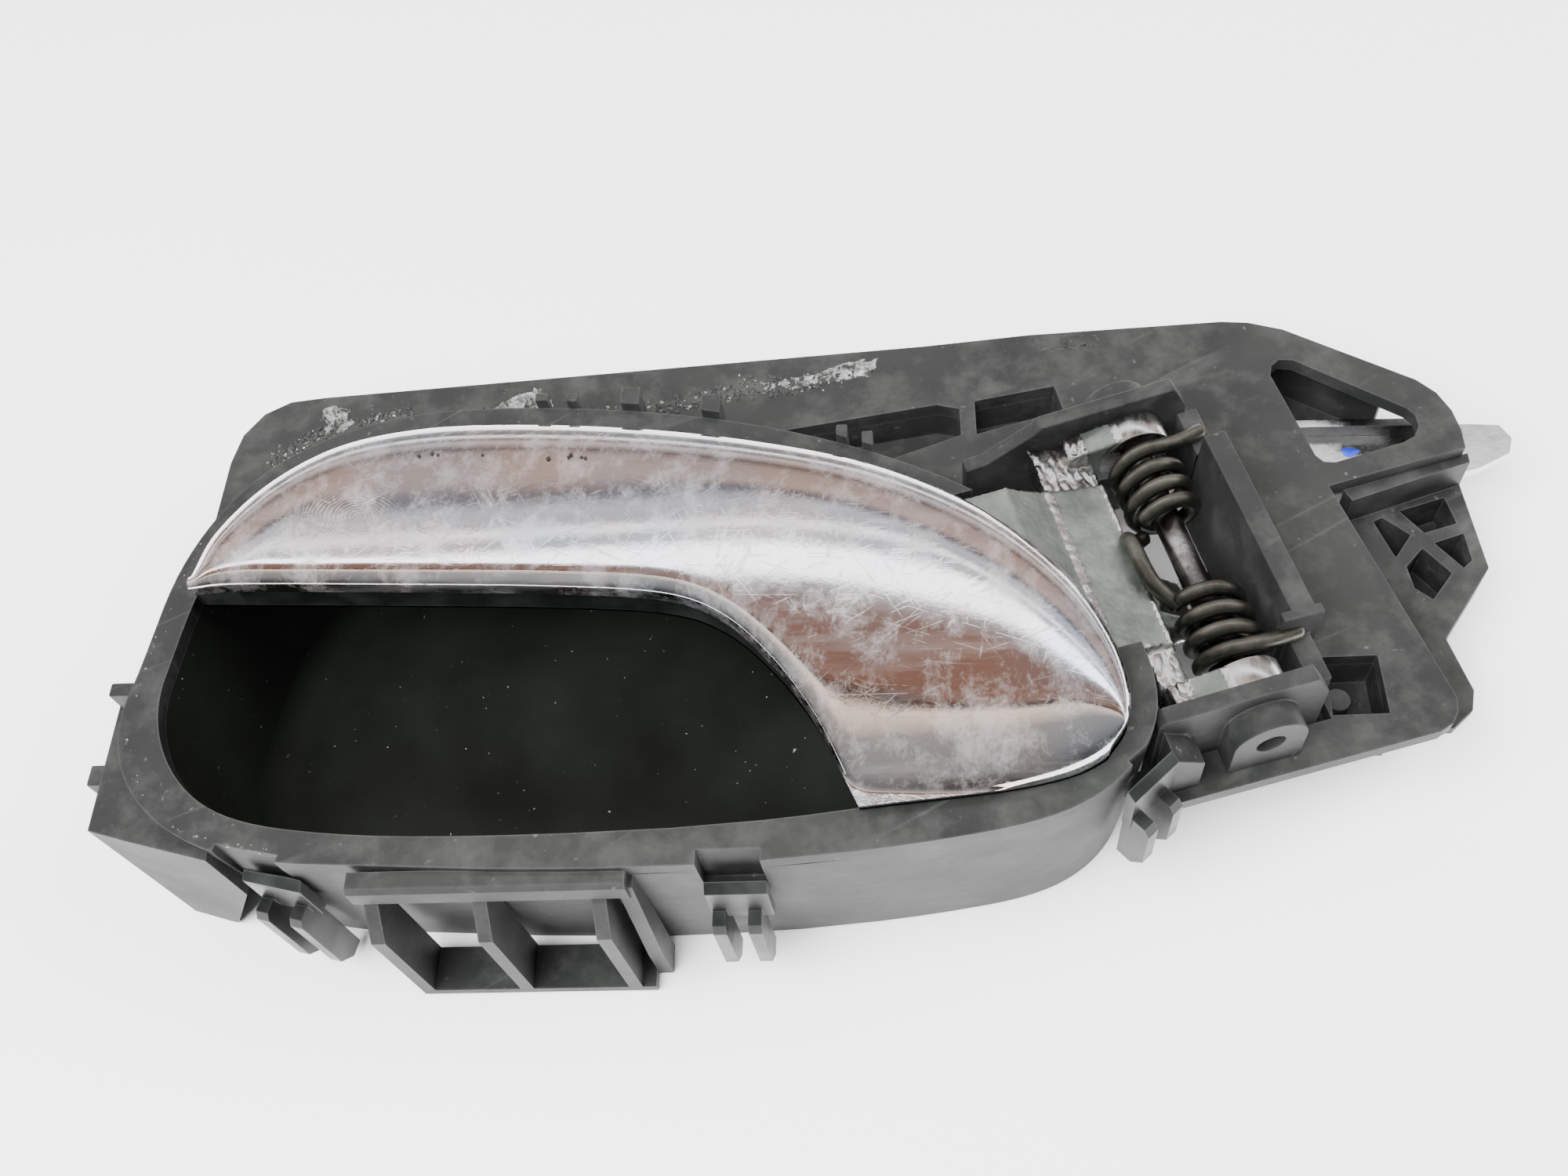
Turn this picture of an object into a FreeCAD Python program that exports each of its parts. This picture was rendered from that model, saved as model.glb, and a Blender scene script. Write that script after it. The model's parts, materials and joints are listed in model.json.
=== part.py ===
import FreeCAD, Part
import math
import os
from FreeCAD import Vector

# Interior car door handle, lying on its back.  All sizes are in millimetres.
# X runs along the finger recess, Y across it, Z points out of the door towards the hand.
# The origin is on the flat back of the recess cup, z = 0.

# Driving dimensions of the moulding
RIM_TOP = 33.0          # top of the rim round the finger recess
RIM_THICK = 2.4         # thickness of the rim's top flange
SKIRT = 2.0             # thickness of the outer skirt below the rim
CUP_WALL = 1.5          # wall of the recess cup
CUP_FLOOR = 1.6         # top of the cup's floor
SKIRT_DRAFT = 2.2       # how much narrower the skirt is at its bottom
CUP_DRAFT = 3.0
PLATE_TOP = 20.0        # top of the mounting plate
PLATE_THICK = 2.3
FLOOR_THICK = 1.6

# Driving dimensions of the hinge
HINGE_X = 54.3          # centre of the pivot pin
HINGE_Y = 5.7
PIN_Z = 26.0
HINGE_TURN = 14.6       # turn of the hinge about Z, degrees
PIN_R = 1.9
BORE_R = 1.95           # running bore of the lever's lugs
PIN_HALF = 26.5         # half length of the pin
LUG_IN = 18.6           # inner face of a lug, from the hinge's middle
LUG_OUT = 22.4          # outer face of a lug
LUG_R = 4.9
WALL_IN = 22.8          # inner face of a hinge wall, from the hinge's middle
WALL_THICK = 2.3
WALL_TOP = 33.4
BOSS_R = 4.9
BOSS_LEN = 3.6

# Driving dimensions of the return spring
WIRE_R = 1.0
COIL_R = 3.75           # mean radius of the coils
COIL_PITCH = 3.0
COIL_TURNS = 3
COIL_START = 6.3        # inner end of each coil pack, from the hinge's middle
LOOP_ANGLE = 98         # where the wire leaves the coils for the middle loop, degrees round the pin
LOOP_LENGTH = 6.2
END_ANGLE = 104         # where the wire leaves the coils for its straight end
END_LENGTH = 10.6

# Driving dimensions of the lever and its link
LEVER_BOTTOM = 34.3     # lower edge of the chrome cover
BACKING_BOTTOM = 33.3
CROWN_Z = 40.6          # highest point of the cover
CROWN_R = 125.0         # crown across the lever
COVER_THICK = 2.0
FACE_EDGE = -6.8        # edge of the casting's top face, across from the pin
FACE_Z = 27.7
SCREW_R = 1.5
SCREW_HEAD_R = 2.9
SCREW_BITE = 0.9         # depth of the screws in the backing's lip
SCREW_LOW = 28.0        # underside of the screw heads
LINK_TOP = 12.0         # top of the sliding release link
LINK_THICK = 1.8

BOWL_OUTLINE = [(-89.6, -12), (-87.6, -24), (-77, -33.6), (-56, -37.6), (-28, -38.8), (0, -38.3),
                (24, -35.7), (39.5, -30.6), (46.6, -21.5), (45.6, -9), (36.5, 5.6), (18, 19),
                (-8, 28.6), (-38, 33.2), (-62, 32), (-78, 23.5), (-87, 7)]
CUP_OUTLINE = [(-85, -10), (-83.6, -19), (-76, -28.4), (-62, -32.8), (-36, -34.2), (-8, -33.6),
               (16, -31), (32, -25.5), (39, -16), (36.5, -5), (26, 7.6), (8, 17.8), (-14, 25),
               (-40, 29.2), (-62, 27.6), (-76, 19), (-83, 5)]
LEVER_OUTER = [(-82.3, 3.5), (-80.2, 10.6), (-74.2, 19.2), (-65.5, 25.6), (-54, 28.4), (-40.2, 28.3),
               (-22.4, 26.2), (-4.5, 22.4), (12.5, 17), (26.6, 8.9), (36.6, -1.4), (42, -11.9),
               (43.3, -21.4), (40.2, -26.9), (30.8, -30.3), (9.8, -32.5)]
LEVER_INNER = [(9.8, -32.5), (7.6, -27.7), (4.1, -20.7), (-1, -13.4), (-7.5, -7.1), (-15.4, -3.7),
               (-30.2, -2), (-52.2, -0.6), (-81.9, 1.1)]
PLATE_OUTLINE = [(-91.6, 20), (-91.4, 36), (-90.4, 41.5), (-87.6, 45.6), (-83.5, 47.8), (-78, 48.3),
                 (20, 51.4), (36.5, 52.4), (66, 52.7), (70, 52.2), (75, 50.4), (92.6, 39.2), (95, 36.6),
                 (96.5, 33.2), (97.1, 29.5), (97, 26.4), (77, 20.9), (87.5, -13.4), (87.2, -15.5),
                 (86.2, -17.2), (84.4, -18.3), (47.8, -27.8), (36, -20), (-80, 10)]
WINDOW = [(71.9, 41.6), (72.3, 43.4), (73.6, 44.5), (75.6, 44.2), (90.2, 34), (91.2, 32.6), (91.3, 30.7),
          (90.4, 28.9), (88.6, 27.9), (78.6, 25), (77, 25.2), (76, 26.4)]


def wire_of(points, z=0.0):
    """Closed polygon wire at height z."""
    corners = [Vector(x, y, z) for x, y in points]
    return Part.makePolygon(corners + corners[:1])


def prism(points, low, high):
    """Upright prism on a polygon."""
    return Part.Face(wire_of(points, low)).extrude(Vector(0, 0, high - low))


def smooth_loop(points, z=0.0):
    """Closed smooth wire through points."""
    curve = Part.BSplineCurve()
    curve.interpolate([Vector(x, y, z) for x, y in points], PeriodicFlag=True)
    return Part.Wire([curve.toShape()])


def smooth_edge(points, z=0.0):
    curve = Part.BSplineCurve()
    curve.interpolate([Vector(x, y, z) for x, y in points])
    return curve.toShape()


def grown(wire, distance, corners=72):
    """The wire as a many-sided loop, moved outwards by distance, or inwards if negative."""
    points = wire.discretize(corners + 1)[:-1]
    return Part.makePolygon(points + points[:1]).makeOffset2D(distance)


def moved_in(points, distance):
    """The points of a counter-clockwise outline, each moved inwards by distance."""
    moved = []
    for index, (x, y) in enumerate(points):
        before = points[index - 1]
        after = points[(index + 1) % len(points)]
        dx = after[0] - before[0]
        dy = after[1] - before[1]
        length = math.hypot(dx, dy)
        moved.append((x - distance * dy / length, y + distance * dx / length))
    return moved


def drafted(points, inset, draft, low, high):
    """Solid on a smooth outline, inset all round and narrower by draft at its bottom."""
    top = smooth_loop(moved_in(points, inset), high)
    bottom = smooth_loop(moved_in(points, inset + draft), low)
    return Part.makeLoft([bottom, top], True, True)


def solid_on(wire, low, high):
    """Upright solid on a flat closed wire drawn at z = 0."""
    face = Part.Face(wire)
    face.translate(Vector(0, 0, low))
    return face.extrude(Vector(0, 0, high - low))


def block(x0, y0, z0, x1, y1, z1):
    return Part.makeBox(x1 - x0, y1 - y0, z1 - z0, Vector(x0, y0, z0))


def rod(radius, length, at, axis):
    return Part.makeCylinder(radius, length, Vector(*at), Vector(*axis))


def joined(shapes):
    """One solid from touching or overlapping shapes."""
    shapes = list(shapes)
    whole = shapes[0].fuse(shapes[1:]) if len(shapes) > 1 else shapes[0]
    return whole.removeSplitter()


def turned(shape, x, y, degrees):
    """Place a shape drawn round the origin at (x, y), turned about Z."""
    placed = shape.copy()
    placed.rotate(Vector(0, 0, 0), Vector(0, 0, 1), degrees)
    placed.translate(Vector(x, y, 0))
    return placed


def at_hinge(shape):
    """From the hinge's own frame (X across the pin, Y along it) to the part's frame."""
    return turned(shape, HINGE_X, HINGE_Y, HINGE_TURN)


def side_profile(points, x0, x1):
    """Prism along X on a profile of (y, z) points."""
    corners = [Vector(x0, y, z) for y, z in points]
    return Part.Face(Part.makePolygon(corners + corners[:1])).extrude(Vector(x1 - x0, 0, 0))


def cross_profile(points, y0, y1):
    """Prism along Y on a profile of (x, z) points."""
    corners = [Vector(x, y0, z) for x, z in points]
    return Part.Face(Part.makePolygon(corners + corners[:1])).extrude(Vector(0, y1 - y0, 0))


# ---------------------------------------------------------------- recess cup and rim

def bowl_solid():
    """Everything inside the outer skirt."""
    body = drafted(BOWL_OUTLINE, 0, SKIRT_DRAFT, 0, RIM_TOP - RIM_THICK)
    cap = solid_on(smooth_loop(BOWL_OUTLINE), RIM_TOP - RIM_THICK, RIM_TOP + 10)
    return body.fuse(cap)


def lever_channel():
    """Room for the lever's casting, from the hinge box into the recess."""
    return at_hinge(block(-46, -13.4, 14.5, -8, 15.6, 60))


def rim_notches():
    """Notches in the rim over the snap clips."""
    middle = block(-10.4, -45, 24, -2.4, -36.8, 60)
    left = turned(block(-4.4, -8, 24, 4.4, -1.2, 60), -68, -34, -11)
    right = turned(block(-2, -8, 26, 8, 0.6, 60), 44.6, -26, 40)
    return [middle, left, right]


def cup_hollow(rounding=5.0):
    """The space of the finger recess, rounded at its bottom."""
    top = RIM_TOP - RIM_THICK
    hollow = drafted(CUP_OUTLINE, 0, CUP_DRAFT, CUP_FLOOR, top)
    bottom = [edge for edge in hollow.Edges if edge.BoundBox.ZMax < CUP_FLOOR + 0.01]
    return hollow.makeFillet(rounding, bottom)


def make_recess_cup():
    top = RIM_TOP - RIM_THICK
    outer = drafted(CUP_OUTLINE, -CUP_WALL, CUP_DRAFT, CUP_FLOOR - FLOOR_THICK, top)
    return outer.cut(cup_hollow()).cut(lever_channel())


def make_rim_frame():
    low_top = RIM_TOP - RIM_THICK
    outline = smooth_loop(BOWL_OUTLINE)
    flange = solid_on(outline, low_top, RIM_TOP).cut(solid_on(smooth_loop(CUP_OUTLINE), 0, 60))
    skirt = drafted(BOWL_OUTLINE, 0, SKIRT_DRAFT, 0, low_top)
    skirt = skirt.cut(drafted(BOWL_OUTLINE, SKIRT, SKIRT_DRAFT, 0, low_top))
    cup = drafted(CUP_OUTLINE, -CUP_WALL, CUP_DRAFT, CUP_FLOOR - FLOOR_THICK, low_top)
    ring = joined([flange, skirt]).cut(cup)
    return ring.cut([lever_channel()] + rim_notches())


# ---------------------------------------------------------------- mounting plate

def hinge_room():
    """Opening of the hinge box in the plate."""
    width = WALL_IN + WALL_THICK
    return at_hinge(block(-24, -width, -1, 10.8, width, 60))


def pocket_solids(low, high):
    first = [(-2, 36.3), (21.5, 39.6), (25, 38.6), (25, 33.6), (12, 29), (-2, 33.5)]
    second = [(27.4, 39.9), (39.6, 41.9), (40.6, 37.2), (27.4, 33.6)]
    return [prism(first, low, high), prism(second, low, high)]


def square_hole():
    return block(71.4, -15.4, -1, 78.6, -6.8, 60)


def make_mounting_plate():
    low = PLATE_TOP - PLATE_THICK
    plate = prism(PLATE_OUTLINE, low, PLATE_TOP)
    plate = plate.cut([bowl_solid(), hinge_room(), square_hole(), prism(WINDOW, 0, 60)])
    plate = plate.cut(pocket_solids(0, 60))
    plate = plate.cut([make_hinge_wall_front(), make_slot_wall(), make_clip_right()])
    return max(plate.Solids, key=lambda solid: solid.Volume)


def make_pocket_tray():
    """Shallow pan below the two pockets beside the hinge."""
    low = 11.0
    top = PLATE_TOP - PLATE_THICK
    outline = [(-5, 38.8), (21.5, 42.2), (42.6, 44.6), (43.2, 35.8), (12, 26.4), (-5, 31.6)]
    pan = prism(outline, low, top).cut(pocket_solids(low + FLOOR_THICK, top + 1))
    pan = pan.cut([bowl_solid(), hinge_room()])
    return max(pan.Solids, key=lambda solid: solid.Volume)


def make_peg_ledge():
    """Ledge and peg moulded below the square hole."""
    top = PLATE_TOP - PLATE_THICK
    ledge = block(70.2, -16.6, 9, 79.8, -5.6, top).cut(block(73.6, -15.4, 12.4, 78.6, -6.8, 60))
    peg = rod(1.7, 4.0, (73.4, -11.4, 12.4), (0, 0, 1))
    return joined([ledge.cut(block(71.4, -15.4, 13.6, 78.6, -6.8, 60)), peg])


# ---------------------------------------------------------------- hinge box

def hinge_wall(sign):
    """One wall of the hinge box with its pin boss, in the hinge's frame."""
    low = 6.0
    inner = WALL_IN
    outer = WALL_IN + WALL_THICK
    profile = [(-14, low), (8.7, low), (8.7, WALL_TOP - 4.4), (6.6, WALL_TOP), (-13, WALL_TOP - 0.8),
               (-14, WALL_TOP - 2)]
    wall = cross_profile(profile, inner, outer)
    boss = rod(BOSS_R, BOSS_LEN, (0, outer, PIN_Z), (0, 1, 0))
    foot = block(-BOSS_R, outer, PLATE_TOP, BOSS_R, outer + BOSS_LEN, PIN_Z)
    wall = joined([wall, boss, foot])
    wall = wall.cut(rod(PIN_R, 40, (0, inner - 1, PIN_Z), (0, 1, 0)))
    if sign < 0:
        wall = wall.mirror(Vector(0, 0, 0), Vector(0, 1, 0))
    return wall


def make_hinge_wall_rear():
    ledge = cross_profile([(-24, 9), (-14, 9), (-14, WALL_TOP - 2), (-21, WALL_TOP - 6), (-24, 27)],
                          WALL_IN, WALL_IN + WALL_THICK)
    wall = joined([hinge_wall(1), ledge])
    return at_hinge(wall).cut(bowl_solid())


def make_hinge_wall_front():
    rib = cross_profile([(-13.2, 14), (-9, 14), (-9, 27), (-13.2, 30)],
                        -WALL_IN - 6.4, -WALL_IN - WALL_THICK)
    wall = joined([hinge_wall(-1), rib])
    return at_hinge(wall).cut(bowl_solid())


def make_slot_wall():
    """Tall wall on the far side of the spring, with a foot at each end under the spring's ends."""
    low = 13.0
    top = WALL_TOP - 1.0
    foot_top = 27.6
    wall = cross_profile([(6.6, low), (10.8, low), (10.8, top), (7.6, top)], -14.4, 14.8)
    end_plate = block(6.2, -15.8, low, 11.6, -14.4, top)
    near_foot = block(7.4, -WALL_IN, low, 10.4, -15.8, foot_top)
    far_foot = block(7.4, 14.8, low, 10.4, WALL_IN, foot_top)
    return at_hinge(joined([wall, end_plate, near_foot, far_foot]))


# ---------------------------------------------------------------- boxes, ribs and clips

def make_rail_box():
    """Rail below the rim with ribs and a bottom plate."""
    back = -38.2
    lip = side_profile([(back, 27.2), (-40.6, 27.2), (-41, 28), (-41, 31.2), (-40.4, 32), (back, 32)],
                       -54.8, -19.2)
    bottom = block(-54, -44.4, 0, -20.6, back, 1.6)
    rib_profile = [(back, 0), (-44.4, 0), (-44.4, 22.4), (-40.4, 27.2), (back, 27.2)]
    ribs = [side_profile(rib_profile, x, x + 1.9) for x in (-54, -39.8, -24.4)]
    end_profile = [(back, 0), (-42, 0), (-42, 8), (-40.4, 30), (back, 30)]
    end = side_profile(end_profile, -20.6, -18.6)
    return joined([lip, bottom, end] + ribs).cut(bowl_solid())


def make_left_box():
    """Box on the recess's left corner with its flat front panel."""
    shell = prism([(-91.4, -13), (-91.2, -31.4), (-85.6, -33), (-74, -36), (-74, -28)], 0, 31.6)
    core = prism([(-89.8, -14.5), (-89.6, -30), (-85, -31.4), (-76, -33.8), (-76, -28)], -1, 29.8)
    slope = cross_profile([(-84.6, -1), (-60, -1), (-60, 40), (-68, 30)], -60, 0)
    whole = shell.cut([core, bowl_solid(), slope])
    return max(whole.Solids, key=lambda solid: solid.Volume)


def clip_shape(width, drop):
    """Snap clip in its own frame: back edge on y = 0, legs towards -Y."""
    half = width / 2
    head = side_profile([(0, 18.4), (-1.4, 18.4), (-1.4, 26.4), (0, 27.4)], -half, half)
    leg_profile = [(0, drop), (-2.4, drop), (-4.2, drop + 3), (-4.2, 19.4), (-3.4, 20.6), (0, 20.6)]
    near = side_profile(leg_profile, -half + 0.2, -half + 2.0)
    far = side_profile(leg_profile, half - 3.2, half - 1.4)
    return joined([head, near, far])


def make_clip_middle():
    return turned(clip_shape(8.0, 5.0), -6.2, -38.9, 0).cut(bowl_solid())


def make_clip_left():
    return turned(clip_shape(8.4, 2.0), -66.8, -36.4, -13).cut(bowl_solid())


def make_clip_right():
    shape = clip_shape(8.0, 8.0)
    shape.translate(Vector(0, 0, 3.5))
    return turned(shape, 45.4, -27.4, 42).cut([bowl_solid(), make_hinge_wall_front()])


def make_end_clip():
    """Stepped catch on the recess's left end."""
    upper = block(-93.6, -11.6, 20, -90.2, -9.6, 31.6)
    spine = block(-92.8, -21.4, 16, -90.2, -11.6, 28)
    lower = block(-94, -24.4, 14, -90.2, -21.4, 30.4)
    return joined([upper, spine, lower]).cut([bowl_solid(), make_left_box()])


def make_locating_tabs():
    """Small tabs and pegs round the rear edge of the rim, as separate solids."""
    places = [(-36.4, 33.1, 1.8, 1.4), (-31.8, 32.7, 1.6, 1.4), (-23, 31.6, 2.8, 3.0),
              (-11, 29.4, 2.8, 3.0), (8, 23.2, 1.6, 2.4), (11.6, 21.8, 1.6, 2.4)]
    bowl = bowl_solid()
    tabs = []
    for x, y, width, depth in places:
        profile = [(y - 3, 21), (y + depth * 0.4, 21), (y + depth, 28), (y + depth, RIM_TOP), (y - 3, RIM_TOP)]
        tab = side_profile(profile, x - width / 2, x + width / 2).cut(bowl)
        tabs.append(max(tab.Solids, key=lambda solid: solid.Volume))
    return Part.makeCompound(tabs)


def make_end_bracket():
    """Ribbed bracket that hangs below the plate's far end."""
    top = 12.0
    low = 4.0
    front_low = 10.4
    outline = [(80, 20.8), (98, 25.6), (99, 10.8), (90.8, -0.4), (92.8, -8.6), (92, -11.6), (89, -14.2), (84, -14.2)]
    left_cell = [(84.6, 19.6), (86, 20.2), (89.4, 17), (86.6, 13.2)]
    right_cell = [(92.4, 15.4), (96.8, 16.8), (97, 12.2), (95.6, 11)]
    front_cell = [(87.8, 11.6), (90.6, 14.6), (93.8, 10.2), (90.4, 6), (88.2, 8)]
    rear_cell = [(88.6, 21.2), (95.4, 23.2), (96.2, 18.6), (91.4, 17.2)]
    body = prism(outline, low, top)
    for cell in (left_cell, right_cell, front_cell, rear_cell):
        body = body.cut(prism(cell, low + FLOOR_THICK, top + 1))
    body = body.cut(block(70, -20, 0, 110, -1, front_low))
    plate_under = PLATE_TOP - PLATE_THICK
    flange = [(77.4, 20.6), (87.2, -14.4), (84.6, -14.4), (79, 6), (75.6, 20.2)]
    web = prism(flange, top, plate_under)
    ear = prism([(80.5, 19.7), (98, 25.4), (98, 27), (79.6, 21.6)], top, plate_under)
    return joined([body, web, ear])


def make_link_channel():
    """Tray below the window, in which the release link slides."""
    low = 6.0
    floor_top = low + FLOOR_THICK
    tray = prism([(68, 28.5), (90, 31), (95, 34.5), (92.5, 38.6), (76, 49.5), (68, 49.5)], low, floor_top)
    wall = prism([(68, 49.5), (76, 49.5), (89.5, 40.6), (88.6, 39.3), (75.4, 47.9), (68, 47.9)],
                 low, PLATE_TOP - PLATE_THICK)
    return joined([tray, wall])


# ---------------------------------------------------------------- lever

def lever_wire():
    return Part.Wire([smooth_edge(LEVER_OUTER), smooth_edge(LEVER_INNER),
                      Part.makeLine(Vector(*LEVER_INNER[-1], 0), Vector(*LEVER_OUTER[0], 0))])


def crown(lower):
    """Long barrel whose top is the lever's crowned face, lowered by an amount."""
    radius = CROWN_R - lower
    barrel = rod(radius, 260, (-130, 0, CROWN_Z - CROWN_R), (1, 0, 0))
    return turned(barrel, -12, 8.5, -12)


def make_lever_cover():
    wire = lever_wire()
    outer = solid_on(wire, LEVER_BOTTOM, 60).common(crown(0))
    inner = solid_on(grown(wire, -COVER_THICK), LEVER_BOTTOM, 60).common(crown(COVER_THICK))
    return outer.cut(inner)


def make_lever_backing():
    wire = lever_wire()
    lip = solid_on(grown(wire, -0.5), BACKING_BOTTOM, LEVER_BOTTOM)
    core = solid_on(grown(wire, -COVER_THICK - 0.05), LEVER_BOTTOM, 60).common(crown(COVER_THICK + 0.05))
    backing = joined([lip, core])
    for across, along in screw_places():
        hole = rod(SCREW_R, SCREW_BITE, (across, along, BACKING_BOTTOM), (0, 0, 1))
        backing = backing.cut(at_hinge(hole))
    return backing


def make_lever_casting():
    """Die-cast arm with two lugs on the pivot pin and a finger that works the link."""
    lugs = []
    for start in (LUG_IN, -LUG_OUT):
        width = LUG_OUT - LUG_IN
        ring = rod(LUG_R, width, (0, start, PIN_Z), (0, 1, 0))
        web = cross_profile([(-10.4, 22.6), (0, PIN_Z - LUG_R + 0.2), (0, PIN_Z + LUG_R), (-10.4, 29.2)],
                            start, start + width)
        lugs.append(joined([ring, web]))
    face = cross_profile([(FACE_EDGE, FACE_Z), (FACE_EDGE, FACE_Z - 4), (-15, 24.2), (-27, 26.2), (-30, 29),
                          (-30, BACKING_BOTTOM), (-21, BACKING_BOTTOM), (-19, 31.8), (-15, 29.3)], -12.4, 14.4)
    corner = cross_profile([(FACE_EDGE, FACE_Z - 1), (FACE_EDGE, FACE_Z - 4), (-15, 24.2), (-15, 28.6)],
                           14.4, LUG_OUT)
    bridge = cross_profile([(-10.8, FACE_Z), (FACE_EDGE, FACE_Z - 0.4), (FACE_EDGE, FACE_Z - 4),
                            (-10.8, FACE_Z - 4)], -LUG_OUT, -12.4)
    finger = cross_profile([(-9.5, 25), (FACE_EDGE, 25), (FACE_EDGE, 18), (-1.4, 13), (-1.4, 7.6), (1.4, 7.6),
                            (1.4, 14.4), (-4, 19.6), (-4.6, 25)], -3.2, 3.2)
    lugs.append(corner)
    whole = joined([face, bridge, finger] + lugs)
    whole = whole.cut(rod(BORE_R, 80, (0, -40, PIN_Z), (0, 1, 0)))
    for across, along in screw_places():
        room = rod(SCREW_HEAD_R + 0.6, 8, (across, along, SCREW_LOW + 1.5 - 8), (0, 0, 1))
        whole = whole.cut([room, rod(SCREW_R, 20, (across, along, SCREW_LOW), (0, 0, 1))])
    return at_hinge(whole)


def screw_places():
    return [(-25.5, along) for along in (-6.0, 5.0)]


def make_cover_screws():
    """Two screws that hold the chrome cover's backing to the casting."""
    screws = []
    for across, along in screw_places():
        head = rod(SCREW_HEAD_R, 1.5, (across, along, SCREW_LOW), (0, 0, 1))
        shank = rod(SCREW_R, BACKING_BOTTOM + SCREW_BITE - SCREW_LOW, (across, along, SCREW_LOW), (0, 0, 1))
        screws.append(at_hinge(joined([head, shank])))
    return Part.makeCompound(screws)


# ---------------------------------------------------------------- pin, spring, link

def make_pivot_pin():
    pin = rod(PIN_R, 2 * PIN_HALF, (0, -PIN_HALF, PIN_Z), (0, 1, 0))
    return at_hinge(pin)


def make_return_spring():
    """Double torsion spring: two coil packs, a loop between them and two straight ends."""
    start = COIL_START + WIRE_R
    turning = 360 * COIL_TURNS + LOOP_ANGLE - END_ANGLE
    helix = Part.Wire(Part.makeHelix(COIL_PITCH, COIL_PITCH * turning / 360, COIL_R).Edges)
    first = helix.Edges[0]
    last = helix.Edges[-1]
    inner = first.valueAt(first.FirstParameter)
    inner_way = first.tangentAt(first.FirstParameter) * -1
    outer = last.valueAt(last.LastParameter)
    outer_way = last.tangentAt(last.LastParameter)
    section = Part.Wire([Part.makeCircle(WIRE_R, inner, inner_way)])
    pack = helix.makePipeShell([section], True, True)
    end = Part.makeCylinder(WIRE_R, END_LENGTH, outer, outer_way)
    arm = Part.makeCylinder(WIRE_R, LOOP_LENGTH, inner, inner_way)
    corner = inner + inner_way * LOOP_LENGTH
    bar_length = start + corner.z
    bar = Part.makeCylinder(WIRE_R, bar_length, corner, Vector(0, 0, -1))
    half = joined([pack, end, arm, Part.makeSphere(WIRE_R, corner), bar])
    half.rotate(Vector(0, 0, 0), Vector(1, 0, 0), -90)
    half.rotate(Vector(0, 0, 0), Vector(0, 1, 0), -LOOP_ANGLE)
    half.translate(Vector(0, start, PIN_Z))
    other = half.mirror(Vector(0, 0, 0), Vector(0, 1, 0))
    return at_hinge(joined([half, other]))


def make_release_link():
    """Flat link that the lever's finger draws back, with its end beyond the plate."""
    low = LINK_TOP - LINK_THICK
    across = 6.2
    arm = block(-4.7, -5, low, 9, 5, LINK_TOP).cut(block(-across / 2, -3.7, 0, across / 2, 3.7, 60))
    arm = at_hinge(arm)
    strip = prism([(60.6, 11.6), (63, 2.6), (70, 8), (76, 25.4), (98, 27.4), (101.4, 28.2), (106.4, 30.7),
                   (107.3, 33.4), (106, 35.9), (101.6, 36.4), (73, 37.2), (67.6, 32)], low, LINK_TOP)
    fold = prism([(73, 35.8), (95, 34.8), (95, 36.2), (73, 37.2)], LINK_TOP, LINK_TOP + 2.4)
    return joined([arm, strip, fold])


SUB_PARTS = {
    "recess_cup": make_recess_cup,
    "rim_frame": make_rim_frame,
    "mounting_plate": make_mounting_plate,
    "pocket_tray": make_pocket_tray,
    "peg_ledge": make_peg_ledge,
    "hinge_wall_rear": make_hinge_wall_rear,
    "hinge_wall_front": make_hinge_wall_front,
    "slot_wall": make_slot_wall,
    "rail_box": make_rail_box,
    "left_box": make_left_box,
    "snap_clip_middle": make_clip_middle,
    "snap_clip_left": make_clip_left,
    "snap_clip_right": make_clip_right,
    "end_catch": make_end_clip,
    "locating_tabs": make_locating_tabs,
    "end_bracket": make_end_bracket,
    "link_channel": make_link_channel,
    "lever_cover": make_lever_cover,
    "lever_backing": make_lever_backing,
    "lever_casting": make_lever_casting,
    "cover_screws": make_cover_screws,
    "pivot_pin": make_pivot_pin,
    "return_spring": make_return_spring,
    "release_link": make_release_link,
}

os.makedirs("parts", exist_ok=True)
for name, make in SUB_PARTS.items():
    shape = make()
    shape.exportStep(f"parts/{name}.step")
    box = shape.BoundBox
    print(f"{name:18s} solids {len(shape.Solids):2d} valid {shape.isValid()} volume {shape.Volume:9.1f} "
          f"x {box.XMin:7.1f} {box.XMax:7.1f} y {box.YMin:7.1f} {box.YMax:7.1f} z {box.ZMin:6.1f} {box.ZMax:6.1f}")
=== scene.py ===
import json
import math
import random
import bmesh
import bpy
import numpy as np
from mathutils import Matrix, Vector, noise


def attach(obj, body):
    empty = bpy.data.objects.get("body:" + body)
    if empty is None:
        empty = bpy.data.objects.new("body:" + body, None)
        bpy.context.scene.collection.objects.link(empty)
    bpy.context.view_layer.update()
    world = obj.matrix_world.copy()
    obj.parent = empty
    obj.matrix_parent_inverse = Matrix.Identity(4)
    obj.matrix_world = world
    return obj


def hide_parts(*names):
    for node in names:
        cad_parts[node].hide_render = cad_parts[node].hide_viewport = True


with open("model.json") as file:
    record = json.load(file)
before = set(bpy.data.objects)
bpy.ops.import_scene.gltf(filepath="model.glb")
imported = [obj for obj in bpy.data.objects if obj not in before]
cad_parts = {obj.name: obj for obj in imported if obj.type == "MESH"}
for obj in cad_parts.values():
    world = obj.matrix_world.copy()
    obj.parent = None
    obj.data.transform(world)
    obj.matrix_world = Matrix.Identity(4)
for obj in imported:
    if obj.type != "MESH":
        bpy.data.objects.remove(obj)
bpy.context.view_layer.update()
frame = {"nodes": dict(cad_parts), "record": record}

MM = 0.001


# ------------------------------------------------------------------ camera, light, floor

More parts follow.
